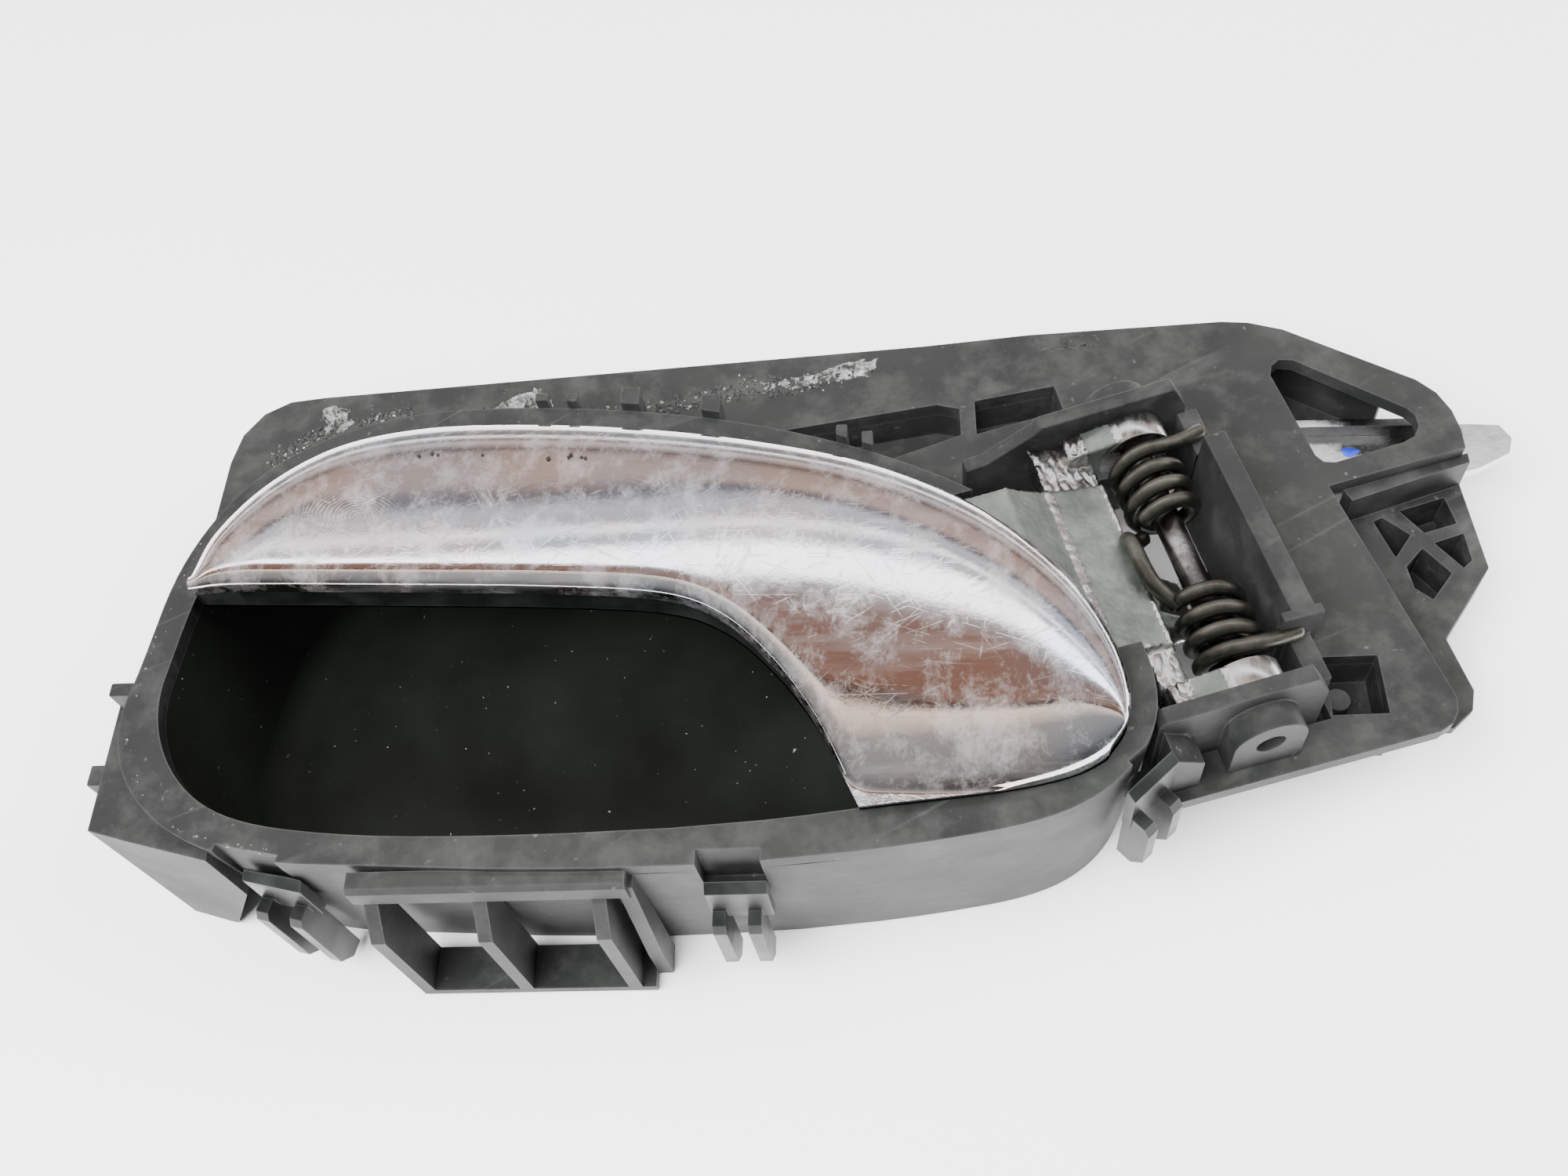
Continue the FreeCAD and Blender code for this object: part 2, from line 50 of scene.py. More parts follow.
def add_camera():
    data = bpy.data.cameras.new("camera")
    data.lens = 34.2
    data.sensor_width = 36.0
    camera = bpy.data.objects.new("camera", data)
    bpy.context.scene.collection.objects.link(camera)
    right = Vector((0.99361, 0.01514, -0.11186))
    up = Vector((0.04488, 0.85628, 0.51455))
    back = Vector((0.10357, -0.51628, 0.85013))
    turn = Matrix((right, up, back)).transposed()
    camera.matrix_world = Matrix.Translation(Vector((20.7148, -103.2569, 203.0262)) * MM) @ turn.to_4x4()
    data.clip_start = 0.01
    bpy.context.scene.camera = camera


def area_light(name, at, target, size, watts):
    data = bpy.data.lights.new(name, "AREA")
    data.shape = "RECTANGLE"
    data.size, data.size_y = size
    data.energy = watts
    light = bpy.data.objects.new(name, data)
    bpy.context.scene.collection.objects.link(light)
    at = Vector(at)
    light.location = at
    light.rotation_euler = (Vector(target) - at).to_track_quat("-Z", "Y").to_euler()
    light.visible_glossy = False


# the studio's soft walls and ceiling, from the wall behind the part (0) over the top (90) to the front (180)
SKY = [(0, (0.5, 0.5, 0.52)), (9, (0.3, 0.28, 0.28)), (13, (2.0, 2.0, 2.05)), (18, (0.35, 0.3, 0.3)),
       (23, (0.9, 0.8, 0.76)), (30, (0.24, 0.19, 0.18)), (35, (0.58, 0.44, 0.39)),
       (46, (0.70, 0.55, 0.50)), (49.5, (0.22, 0.21, 0.24)), (52, (0.85, 0.88, 0.95)), (55, (0.8, 0.8, 0.86)),
       (56.3, (2.8, 2.8, 2.9)), (57.8, (0.7, 0.72, 0.78)), (59.3, (1.2, 1.2, 1.3)), (60.5, (4.8, 4.8, 4.9)),
       (65, (4.6, 4.6, 4.8)), (66.5, (0.7, 0.68, 0.7)), (70, (0.36, 0.22, 0.18)), (81, (0.34, 0.18, 0.13)),
       (83.5, (0.05, 0.05, 0.06)), (86, (1.5, 1.25, 1.05)), (92, (1.0, 0.85, 0.75)), (98, (0.5, 0.48, 0.46)),
       (130, (0.3, 0.3, 0.31)), (155, (0.12, 0.12, 0.12)), (180, (0.08, 0.08, 0.08))]


def add_world():
    world = bpy.data.worlds.new("studio")
    bpy.context.scene.world = world
    world.use_nodes = True
    tree = world.node_tree
    background = tree.nodes["Background"]
    coords = tree.nodes.new("ShaderNodeTexCoord")
    split = tree.nodes.new("ShaderNodeSeparateXYZ")
    tree.links.new(coords.outputs["Generated"], split.inputs[0])
    angle = tree.nodes.new("ShaderNodeMath")
    angle.operation = "ARCTAN2"
    tree.links.new(split.outputs["Z"], angle.inputs[0])
    tree.links.new(split.outputs["Y"], angle.inputs[1])
    share = tree.nodes.new("ShaderNodeMath")
    share.operation = "DIVIDE"
    share.inputs[1].default_value = math.pi
    tree.links.new(angle.outputs[0], share.inputs[0])
    ramp = tree.nodes.new("ShaderNodeValToRGB")
    elements = ramp.color_ramp.elements
    while len(elements) < len(SKY):
        elements.new(0.5)
    for element, (degrees, colour) in zip(elements, SKY):
        element.position = degrees / 180
        element.color = (*colour, 1)
    tree.links.new(share.outputs[0], ramp.inputs["Fac"])
    tree.links.new(ramp.outputs["Color"], background.inputs["Color"])
    background.inputs["Strength"].default_value = 1.0


def mesh_object(name, verts, faces):
    mesh = bpy.data.meshes.new(name)
    mesh.from_pydata(verts, [], faces)
    mesh.update()
    thing = bpy.data.objects.new(name, mesh)
    bpy.context.scene.collection.objects.link(thing)
    return thing


class Nodes:
    """Short calls for building a material's nodes."""

    def __init__(self, name):
        self.material = bpy.data.materials.new(name)
        self.material.use_nodes = True
        self.tree = self.material.node_tree
        self.shader = self.tree.nodes["Principled BSDF"]
        coords = self.tree.nodes.new("ShaderNodeTexCoord")
        self.place = coords.outputs["Object"]

    def set(self, **values):
        for key, value in values.items():
            self.shader.inputs[key.replace("_", " ")].default_value = value

    def link(self, out, into):
        self.tree.links.new(out, into)

    def noise(self, scale, detail=4.0, rough=0.55, stretch=None, distortion=0.0):
        node = self.tree.nodes.new("ShaderNodeTexNoise")
        node.inputs["Scale"].default_value = scale
        node.inputs["Detail"].default_value = detail
        node.inputs["Roughness"].default_value = rough
        node.inputs["Distortion"].default_value = distortion
        self.link(self.mapped(stretch), node.inputs["Vector"])
        return node.outputs["Fac"]

    def mapped(self, stretch=None, turn=0.0, shift=(0, 0, 0)):
        """Object coordinates turned about z and shifted, then stretched."""
        if stretch is None:
            return self.place
        turned = self.tree.nodes.new("ShaderNodeMapping")
        turned.inputs["Rotation"].default_value = (0, 0, turn)
        turned.inputs["Location"].default_value = shift
        self.link(self.place, turned.inputs["Vector"])
        node = self.tree.nodes.new("ShaderNodeMapping")
        node.inputs["Scale"].default_value = stretch
        self.link(turned.outputs["Vector"], node.inputs["Vector"])
        return node.outputs["Vector"]

    def ramp(self, fac, *stops):
        node = self.tree.nodes.new("ShaderNodeValToRGB")
        ramp = node.color_ramp
        while len(ramp.elements) < len(stops):
            ramp.elements.new(0.5)
        for element, (at, colour) in zip(ramp.elements, stops):
            element.position = at
            if not hasattr(colour, "__len__"):
                colour = (colour, colour, colour)
            element.color = (*colour, 1)
        self.link(fac, node.inputs["Fac"])
        return node.outputs["Color"]

    def math(self, kind, a, b=None):
        node = self.tree.nodes.new("ShaderNodeMath")
        node.operation = kind
        for socket, value in zip(node.inputs, (a, b)):
            if value is None:
                continue
            if isinstance(value, (int, float)):
                socket.default_value = value
            else:
                self.link(value, socket)
        return node.outputs[0]

    def mix(self, fac, a, b, kind="MIX"):
        node = self.tree.nodes.new("ShaderNodeMix")
        node.data_type = "RGBA"
        node.blend_type = kind
        for socket, value in ((node.inputs[0], fac), (node.inputs[6], a), (node.inputs[7], b)):
            if isinstance(value, (int, float)):
                socket.default_value = value
            elif isinstance(value, tuple):
                socket.default_value = (*value, 1)
            else:
                self.link(value, socket)
        return node.outputs[2]

    def hairlines(self, scale, stretch, turn, width, offset=0.0):
        """Thin broken scratches along one direction."""
        node = self.tree.nodes.new("ShaderNodeTexNoise")
        node.inputs["Scale"].default_value = scale
        node.inputs["Detail"].default_value = 2.0
        node.inputs["Roughness"].default_value = 0.4
        self.link(self.mapped(stretch, turn, (offset, offset * 0.7, 0)), node.inputs["Vector"])
        lines = self.ramp(node.outputs["Fac"], (0.5 - width, 0), (0.5, 1), (0.5 + width, 0))
        gaps = self.ramp(self.noise(scale * 0.7, 2, 0.5, (1, 1, 1.2)), (0.5, 0), (0.6, 1))
        return self.math("MULTIPLY", lines, gaps)

    def edges(self, radius, low, high):
        """1 on worn outer edges and inner corners, 0 on open faces."""
        bevel = self.tree.nodes.new("ShaderNodeBevel")
        bevel.samples = 4
        bevel.inputs["Radius"].default_value = radius
        geometry = self.tree.nodes.new("ShaderNodeNewGeometry")
        dot = self.tree.nodes.new("ShaderNodeVectorMath")
        dot.operation = "DOT_PRODUCT"
        self.link(bevel.outputs["Normal"], dot.inputs[0])
        self.link(geometry.outputs["Normal"], dot.inputs[1])
        away = self.math("SUBTRACT", 1.0, dot.outputs["Value"])
        return self.ramp(away, (low, 0), (high, 1))

    def bump(self, height, distance, strength=1.0, normal=None):
        node = self.tree.nodes.new("ShaderNodeBump")
        node.inputs["Strength"].default_value = strength
        node.inputs["Distance"].default_value = distance
        self.link(height, node.inputs["Height"])
        if normal is not None:
            self.link(normal, node.inputs["Normal"])
        return node.outputs["Normal"]

    def out(self, colour=None, rough=None, normal=None, metal=None):
        for name, value in (("Base Color", colour), ("Roughness", rough), ("Normal", normal),
                            ("Metallic", metal)):
            if value is not None:
                self.link(value, self.shader.inputs[name])
        return self.material


def filled_plastic():
    n = Nodes("filled_plastic")
    cloud = n.noise(45, 5, 0.6)
    grain = n.noise(1500, 3, 0.6)
    speck = n.noise(600, 2, 0.7)
    base = n.ramp(cloud, (0.36, (0.0115, 0.0125, 0.012)), (0.66, (0.021, 0.0225, 0.0215)))
    dusty = n.math("MULTIPLY", n.ramp(n.noise(120, 6, 0.7), (0.46, 0), (0.75, 1)), 0.6)
    colour = n.mix(dusty, base, (0.052, 0.054, 0.052))
    colour = n.mix(n.ramp(speck, (0.68, 0), (0.76, 0.4)), colour, (0.11, 0.113, 0.11))
    scuff = n.math("MULTIPLY", n.hairlines(90, (1, 0.12, 1), 1.1, 0.012), 0.12)
    colour = n.mix(scuff, colour, (0.12, 0.125, 0.12))
    colour = n.mix(n.math("MULTIPLY", n.edges(0.0005, 0.06, 0.35), 0.4), colour, (0.085, 0.089, 0.086))
    rough = n.ramp(cloud, (0.3, 0.46), (0.7, 0.66))
    normal = n.bump(grain, 0.00006, 0.7, n.bump(cloud, 0.0003, 0.25))
    n.set(Specular_IOR_Level=0.45)
    return n.out(colour, rough, normal)


def recess_black():
    n = Nodes("recess_black")
    cloud = n.noise(30, 4, 0.55)
    grain = n.noise(2200, 2, 0.6)
    colour = n.ramp(cloud, (0.35, (0.004, 0.0045, 0.004)), (0.7, (0.010, 0.012, 0.010)))
    colour = n.mix(n.ramp(n.noise(900, 2, 0.75), (0.73, 0), (0.76, 0.8)), colour, (0.2, 0.21, 0.2))
    rough = n.ramp(cloud, (0.3, 0.5), (0.7, 0.62))
    n.set(Specular_IOR_Level=0.3)
    return n.out(colour, rough, n.bump(grain, 0.00004, 0.6))


def clip_black():
    n = Nodes("clip_black")
    cloud = n.noise(160, 4, 0.6)
    colour = n.ramp(cloud, (0.38, (0.006, 0.007, 0.007)), (0.7, (0.017, 0.019, 0.0185)))
    colour = n.mix(n.math("MULTIPLY", n.edges(0.0004, 0.06, 0.35), 0.4), colour, (0.07, 0.078, 0.078))
    rough = n.ramp(cloud, (0.35, 0.32), (0.7, 0.5))
    return n.out(colour, rough, n.bump(n.noise(900, 3), 0.00003, 0.5))


def chrome():
    n = Nodes("chrome")
    smudge = n.noise(150, 10, 0.8, (1, 0.7, 1), 0.15)
    haze = n.ramp(smudge, (0.47, 0), (0.62, 1))
    streak = n.ramp(n.noise(190, 5, 0.65, (0.12, 1, 1), 0.3), (0.5, 0), (0.7, 1))
    patches = n.noise(46, 3, 0.55)
    scratches = None
    sets = ((380, 1.25, 0.016, 0.1), (420, 1.62, 0.016, 0.5), (460, 1.95, 0.017, 0.9),
            (360, 0.9, 0.014, 1.4), (430, 0.25, 0.014, 2.1), (400, 2.6, 0.014, 3.3))
    for scale, turn, width, offset in sets:
        more = n.hairlines(scale, (1, 0.02, 1), turn, width, offset)
        scratches = more if scratches is None else n.math("MAXIMUM", scratches, more)
    whorl = n.tree.nodes.new("ShaderNodeTexWave")
    whorl.wave_type = "RINGS"
    whorl.rings_direction = "Z"
    whorl.inputs["Scale"].default_value = 520
    whorl.inputs["Distortion"].default_value = 5.0
    whorl.inputs["Detail"].default_value = 1.0
    whorl.inputs["Detail Scale"].default_value = 0.6
    n.link(n.mapped((1, 1.5, 1), 0.3, (0.0584, 0.0076, 0)), whorl.inputs["Vector"])
    near = n.tree.nodes.new("ShaderNodeVectorMath")
    near.operation = "DISTANCE"
    near.inputs[1].default_value = (-0.060, 0.0125, 0.040)
    n.link(n.place, near.inputs[0])
    print_area = n.ramp(near.outputs["Value"], (0.003, 0.8), (0.0095, 0))
    touch = n.math("MULTIPLY", n.ramp(whorl.outputs["Fac"], (0.35, 0), (0.65, 1)), print_area)
    colour = n.ramp(patches, (0.38, (0.78, 0.70, 0.67)), (0.52, (0.74, 0.73, 0.75)),
                    (0.66, (0.66, 0.69, 0.74)))
    colour = n.mix(n.math("MULTIPLY", haze, 0.3), colour, (0.66, 0.67, 0.72))
    colour = n.mix(n.math("MULTIPLY", scratches, 0.2), colour, (0.95, 0.95, 0.97))
    smear = n.math("MULTIPLY", n.math("MAXIMUM", haze, n.math("MULTIPLY", streak, 0.5)), 0.12)
    metal = n.math("SUBTRACT", 1.0, smear)
    rough = n.math("ADD", n.math("MULTIPLY", haze, 0.09), n.math("MULTIPLY", streak, 0.05))
    rough = n.math("ADD", rough, n.math("MULTIPLY", scratches, 0.16))
    rough = n.math("ADD", rough, n.math("MULTIPLY", touch, 0.22))
    rough = n.math("ADD", rough, 0.035)
    normal = n.bump(n.noise(30, 2, 0.4), 0.0004, 0.12)
    normal = n.bump(n.noise(650, 4, 0.7), 0.000012, 0.6, normal)
    return n.out(colour, rough, n.bump(scratches, 0.000006, 0.3, normal), metal)


def raw_zinc():
    n = Nodes("raw_zinc")
    cloud = n.noise(110, 5, 0.65)
    colour = n.ramp(cloud, (0.35, (0.19, 0.215, 0.20)), (0.7, (0.37, 0.41, 0.38)))
    rough = n.ramp(n.noise(420, 5, 0.7), (0.35, 0.34), (0.7, 0.55))
    n.set(Metallic=0.9)
    return n.out(colour, rough, n.bump(n.noise(700, 5, 0.7), 0.0001, 0.6, n.bump(cloud, 0.0003, 0.25)))


def bright_zinc(name, stretch, scale, depth):
    """Freshly machined or torn zinc; where it lies on the lugs' tops and the cast arm's right edge, its
    brightness is also a painted highlight.
    """
    n = Nodes(name)
    marks = n.noise(scale, 5, 0.7, stretch)
    colour = n.ramp(marks, (0.34, (0.42, 0.44, 0.43)), (0.62, (0.88, 0.89, 0.88)))
    rough = n.ramp(marks, (0.35, 0.2), (0.7, 0.42))
    n.set(Metallic=1.0)
    return n.out(colour, rough, n.bump(marks, depth, 0.7))


def steel(name, dark, light, low, high):
    n = Nodes(name)
    cloud = n.noise(220, 5, 0.65)
    colour = n.ramp(cloud, (0.35, dark), (0.7, light))
    rough = n.ramp(n.noise(700, 4, 0.7), (0.35, low), (0.7, high))
    n.set(Metallic=1.0)
    return n.out(colour, rough, n.bump(n.noise(700, 4, 0.6), 0.00003, 0.5))


def pin_with_painted_glint():
    """Dark pin with a painted highlight, a bright spot on its top at its middle."""
    n = Nodes("dark_steel")
    cloud = n.noise(260, 5, 0.65)
    # painted highlight: a bright spot on top of the pin at its middle, mixed in as light grey below
    near = n.tree.nodes.new("ShaderNodeVectorMath")
    near.operation = "DISTANCE"
    near.inputs[1].default_value = (0.0541, 0.0062, 0.028)
    n.link(n.place, near.inputs[0])
    painted_glint = n.ramp(near.outputs["Value"], (0.0010, 1), (0.0030, 0))
    painted_glint = n.math("MULTIPLY", painted_glint, n.ramp(cloud, (0.4, 0.2), (0.55, 1)))
    colour = n.ramp(cloud, (0.35, (0.09, 0.09, 0.086)), (0.7, (0.24, 0.24, 0.23)))
    colour = n.mix(painted_glint, colour, (0.8, 0.8, 0.8))
    n.set(Metallic=1.0)
    return n.out(colour, n.ramp(n.noise(700, 4, 0.7), (0.35, 0.3), (0.7, 0.48)), n.bump(cloud, 0.0001, 0.4))


def floor_white():
    n = Nodes("floor_white")
    n.set(Specular_IOR_Level=0.2)
    colour = n.ramp(n.noise(6, 2, 0.5), (0.3, (0.93, 0.93, 0.93)), (0.7, (0.95, 0.95, 0.95)))
    n.set(Roughness=0.8)
    return n.out(colour)


def torn_plastic():
    n = Nodes("torn_plastic")
    cloud = n.noise(700, 5, 0.7)
    colour = n.ramp(cloud, (0.42, (0.022, 0.023, 0.022)), (0.66, (0.30, 0.31, 0.30)))
    rough = n.ramp(cloud, (0.3, 0.35), (0.7, 0.6))
    return n.out(colour, rough, n.bump(n.noise(1600, 4, 0.7), 0.0001, 0.8))


def blue_paint():
    n = Nodes("blue_paint")
    cloud = n.noise(500, 3, 0.6)
    colour = n.ramp(cloud, (0.35, (0.01, 0.02, 0.35)), (0.65, (0.03, 0.06, 0.62)))
    return n.out(colour, n.ramp(cloud, (0.3, 0.25), (0.7, 0.45)), n.bump(cloud, 0.00004, 0.5))


MATERIALS = {
    "filled_plastic": filled_plastic(),
    "soft_black_paint": recess_black(),
    "clip_plastic": clip_black(),
    "black_plastic": clip_black(),
    "bright_chrome": chrome(),
    "raw_zinc_casting": raw_zinc(),
    "plated_steel": steel("plated_steel", (0.42, 0.42, 0.42), (0.6, 0.6, 0.6), 0.2, 0.4),
    "dark_steel": pin_with_painted_glint(),
    "spring_steel": steel("spring_steel", (0.13, 0.135, 0.115), (0.30, 0.305, 0.265), 0.34, 0.52),
    "bright_zinc_sheet": steel("bright_zinc_sheet", (0.68, 0.69, 0.68), (0.85, 0.85, 0.85), 0.12, 0.3),
}

# looks that the record has no slot for, each with the record's slot that it counts as
EXTRA = {"torn_plastic": (torn_plastic(), "filled_plastic"),
         "blue_paint": (blue_paint(), "bright_zinc_sheet"),
         # bright zinc: machined and torn metal, and also painted highlight on the lugs' tops and the cast
         # arm's right edge
         "machined_zinc_and_lug_highlight": (bright_zinc("machined_zinc_and_lug_highlight", (1, 0.2, 1), 400, 0.00002), "raw_zinc_casting"),
         "torn_zinc_and_edge_highlight": (bright_zinc("torn_zinc_and_edge_highlight", (1, 1, 1), 500, 0.00012), "raw_zinc_casting")}


def paint(thing, slot):
    thing.data.materials.clear()
    material, row_slot = EXTRA.get(slot) or (MATERIALS[slot], slot)
    thing.data.materials.append(material)


SLOT_OF = {part["node"]: part["material_slot"] for part in frame["record"]["subparts"]}


# ------------------------------------------------------------------ mesh tools

HINGE = Vector((54.3, 5.7, 0))
HINGE_TURN = math.radians(14.6)
PIN_Z = 26.0


def at_hinge(across, along, z):
    """A point of the hinge's own frame, in millimetres of the part's frame."""
    c, s = math.cos(HINGE_TURN), math.sin(HINGE_TURN)
    return Vector((HINGE.x + across * c - along * s, HINGE.y + across * s + along * c, z))


def smooth_line(points, steps=12, closed=False):
    """Catmull-Rom curve through points, as points."""
    points = [Vector(p) for p in points]
    count = len(points)
    line = []
    for i in range(count if closed else count - 1):
        if closed:
            a, b, c, d = (points[(i + k - 1) % count] for k in range(4))
        else:
            b, c = points[i], points[i + 1]
            a = points[i - 1] if i else b * 2 - c
            d = points[i + 2] if i + 2 < count else c * 2 - b
        for step in range(steps):
            t = step / steps
            line.append(0.5 * ((2 * b) + (c - a) * t + (2 * a - 5 * b + 4 * c - d) * t ** 2
                               + (3 * b - a - 3 * c + d) * t ** 3))
    if not closed:
        line.append(points[-1])
    return line


def resampled(line, stops):
    """Points at shares of the line's length."""
    lengths = [0.0]
    for a, b in zip(line, line[1:]):
        lengths.append(lengths[-1] + (b - a).length)
    found, k = [], 0
    for stop in stops:
        want = stop * lengths[-1]
        while k < len(lengths) - 2 and lengths[k + 1] < want:
            k += 1
        share = (want - lengths[k]) / max(lengths[k + 1] - lengths[k], 1e-9)
        found.append(line[k].lerp(line[k + 1], min(max(share, 0), 1)))
    return found


def tube(path, radius, sides=16):
    """Vertices and faces of a round bar along a path, with rounded ends."""
    verts, faces = [], []
    way = (path[1] - path[0]).normalized()
    side = way.orthogonal().normalized()
    rings = []
    for i, point in enumerate(path):
        before = path[max(i - 1, 0)]
        after = path[min(i + 1, len(path) - 1)]
        new_way = (after - before).normalized()
        side = (side - new_way * side.dot(new_way)).normalized()
        other = new_way.cross(side)
        rings.append((point, side.copy(), other, new_way, radius))
    first, last = rings[0], rings[-1]
    start = [(first[0] - first[3] * first[4] * 0.35, first[1], first[2], first[3], first[4] * 0.62)]
    end = [(last[0] + last[3] * last[4] * 0.35, last[1], last[2], last[3], last[4] * 0.62)]
    rings = start + rings + end
    for centre, a, b, _, size in rings:
        for k in range(sides):
            angle = 2 * math.pi * k / sides
            verts.append(centre + (a * math.cos(angle) + b * math.sin(angle)) * size)
    for r in range(len(rings) - 1):
        for k in range(sides):
            n = (k + 1) % sides
            faces.append((r * sides + k, r * sides + n, (r + 1) * sides + n, (r + 1) * sides + k))
    faces.append(tuple(reversed(range(sides))))
    faces.append(tuple(range((len(rings) - 1) * sides, len(rings) * sides)))
    return verts, faces


def scaled(verts):
    return [Vector(v) * MM for v in verts]


def soften(thing, angle=50):
    """Smooth shading except over edges sharper than angle."""
    mesh = thing.data
    mesh.polygons.foreach_set("use_smooth", [True] * len(mesh.polygons))
    bm = bmesh.new()
    bm.from_mesh(mesh)
    for edge in bm.edges:
        if len(edge.link_faces) == 2:
            edge.smooth = edge.calc_face_angle(0) < math.radians(angle)
    bm.to_mesh(mesh)
    bm.free()


def apply_modifiers(thing):
    graph = bpy.context.evaluated_depsgraph_get()
    mesh = bpy.data.meshes.new_from_object(thing.evaluated_get(graph), depsgraph=graph)
    thing.modifiers.clear()
    thing.data = mesh


def body_of(node_name):
    for body, members in frame["record"]["behaviour"]["bodies"].items():
        if node_name in members:
            return body


def cad_copy(node_name, new_name, limit):
    """A loose copy of a CAD node's mesh, welded and with its flat faces made whole."""
    mesh = frame["nodes"][node_name].data.copy()
    mesh.name = new_name
    bm = bmesh.new()
    bm.from_mesh(mesh)
    bmesh.ops.remove_doubles(bm, verts=bm.verts, dist=0.004 * MM)
    bmesh.ops.dissolve_limit(bm, angle_limit=math.radians(limit), verts=bm.verts, edges=bm.edges,
                             delimit={"NORMAL"})
    bm.to_mesh(mesh)
    bm.free()
    mesh.materials.clear()
    copy = bpy.data.objects.new(new_name, mesh)
    bpy.context.scene.collection.objects.link(copy)
    return copy


FLAT_LIMIT = 1.2        # faces within this many degrees of each other are made one


def bevelled(node_name, new_name, width):
    """The CAD node with moulded, softly rounded edges."""
    copy = cad_copy(node_name, new_name, FLAT_LIMIT)
    bevel = copy.modifiers.new("bevel", "BEVEL")
    bevel.width = width * MM
    bevel.segments = 2
    bevel.limit_method = "ANGLE"
    bevel.angle_limit = math.radians(32)
    bevel.use_clamp_overlap = True
    bevel.miter_outer = "MITER_SHARP"
    bevel.harden_normals = False
    apply_modifiers(copy)
    soften(copy, 52)
    weighted = copy.modifiers.new("weighted", "WEIGHTED_NORMAL")
    weighted.keep_sharp = True
    weighted.mode = "FACE_AREA"
    apply_modifiers(copy)
    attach(copy, body_of(node_name))
    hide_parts(node_name)
    paint(copy, SLOT_OF[node_name])
    return copy


def new_piece(name, verts, faces, body, slot, stands_for=(), smooth=None):
    thing = mesh_object(name, scaled(verts), faces)
    bm = bmesh.new()
    bm.from_mesh(thing.data)
    bmesh.ops.recalc_face_normals(bm, faces=bm.faces)
    bm.to_mesh(thing.data)
    bm.free()
    if smooth:
        soften(thing, smooth)
    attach(thing, body)
    if stands_for:
        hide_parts(*stands_for)
    paint(thing, slot)
    return thing


# ------------------------------------------------------------------ plastic moulding

MOULDED = [("rim_frame", "rim", 0.45), ("mounting_plate", "plate", 0.35), ("pocket_tray", "tray", 0.3),
           ("peg_ledge", "peg", 0.25), ("hinge_wall_rear", "rear_wall", 0.3),
           ("hinge_wall_front", "front_wall", 0.3), ("slot_wall", "spring_wall", 0.35),
           ("rail_box", "rail", 0.25), ("left_box", "corner_box", 0.3),
           ("snap_clip_middle", "clip_middle", 0.2),
           ("snap_clip_left", "clip_left", 0.2), ("snap_clip_right", "clip_right", 0.2),
           ("end_catch", "catch", 0.25), ("locating_tabs", "tabs", 0.2), ("end_bracket", "bracket", 0.3),
           ("link_channel", "channel", 0.3),
           ("release_link", "link_sheet", 0.22), ("recess_cup", "cup", 0.2), ("pivot_pin", "pin", 0.3)]


TAB_RISE = 1.8          # how much taller the locating tabs stand than their plain solids


def add_moulded():
    for node_name, new_name, width in MOULDED:
        piece = bevelled(node_name, new_name, width)
        if new_name == "tabs":
            middle = sum(v.co.z for v in piece.data.vertices) / len(piece.data.vertices)
            for vert in piece.data.vertices:
                if vert.co.z > middle:
                    vert.co.z += TAB_RISE * MM


# ------------------------------------------------------------------ chrome lever

LEVER_OUTER = [(-82.3, 3.5), (-80.2, 10.6), (-74.2, 19.2), (-65.5, 25.6), (-54, 28.4), (-40.2, 28.3),
               (-22.4, 26.2), (-4.5, 22.4), (12.5, 17), (26.6, 8.9), (36.6, -1.4), (42, -11.9),
               (43.3, -21.4), (40.2, -26.9), (30.8, -30.3), (9.8, -32.5)]
LEVER_INNER = [(-81.9, 1.1), (-52.2, -0.6), (-30.2, -2), (-15.4, -3.7), (-7.5, -7.1), (-1, -13.4),
               (4.1, -20.7), (7.6, -27.7), (9.8, -32.5)]
HEEL = 13               # index of the outer point where the heel's end begins
COVER_BOTTOM = 34.3
SHELL = 1.4             # thickness of the cover where it stands highest
CROWN_TOP = 40.6
CROWN_R = 125.0
OUTER_ROLL = (11.0, 3.7)    # width and depth of the rolled outer edge
INNER_ROLL = (3.2, 1.7)
BACKING_BOTTOM = 33.3
BACKING_INSET = 0.3     # how far the backing stands inside the cover
LEAST_EDGE = 0.35       # least thickness of the cover at its rolled edge


def flat_line(points, steps=14):
    return smooth_line([(x, y, 0) for x, y in points], steps)


def distance_to(line, x, y):
    """Distance from points to a line of points; x and y may be arrays."""
    points = np.stack([np.atleast_1d(x), np.atleast_1d(y)], -1).astype(float)
    best = np.full(len(points), 1e9)
    for a, b in zip(line, line[1:]):
        start, way = np.array(a[:2]), np.array(b[:2]) - np.array(a[:2])
        share = np.clip((points - start) @ way / (way @ way + 1e-12), 0, 1)
        off = points - start - share[:, None] * way
        best = np.minimum(best, (off * off).sum(1))
    return np.sqrt(best)


def roll(distance, width, depth):
    out = np.clip(1 - distance / width, 0, 1)
    return depth * (1 - np.sqrt(np.maximum(1 - out ** 2.6, 0)))


def crown(x, y):
    off = y - 6.2 + 0.0085 * max(x + 8, 0) ** 2
    return CROWN_TOP - CROWN_R + math.sqrt(CROWN_R ** 2 - off ** 2)


def eased(count, sharp):
    """Shares from 0 to 1, closer together at both ends."""
    shares = []
    for i in range(count + 1):
        t = i / count
        shares.append((1 - sharp) * t + sharp * (0.5 - 0.5 * math.cos(math.pi * t)))
    return shares


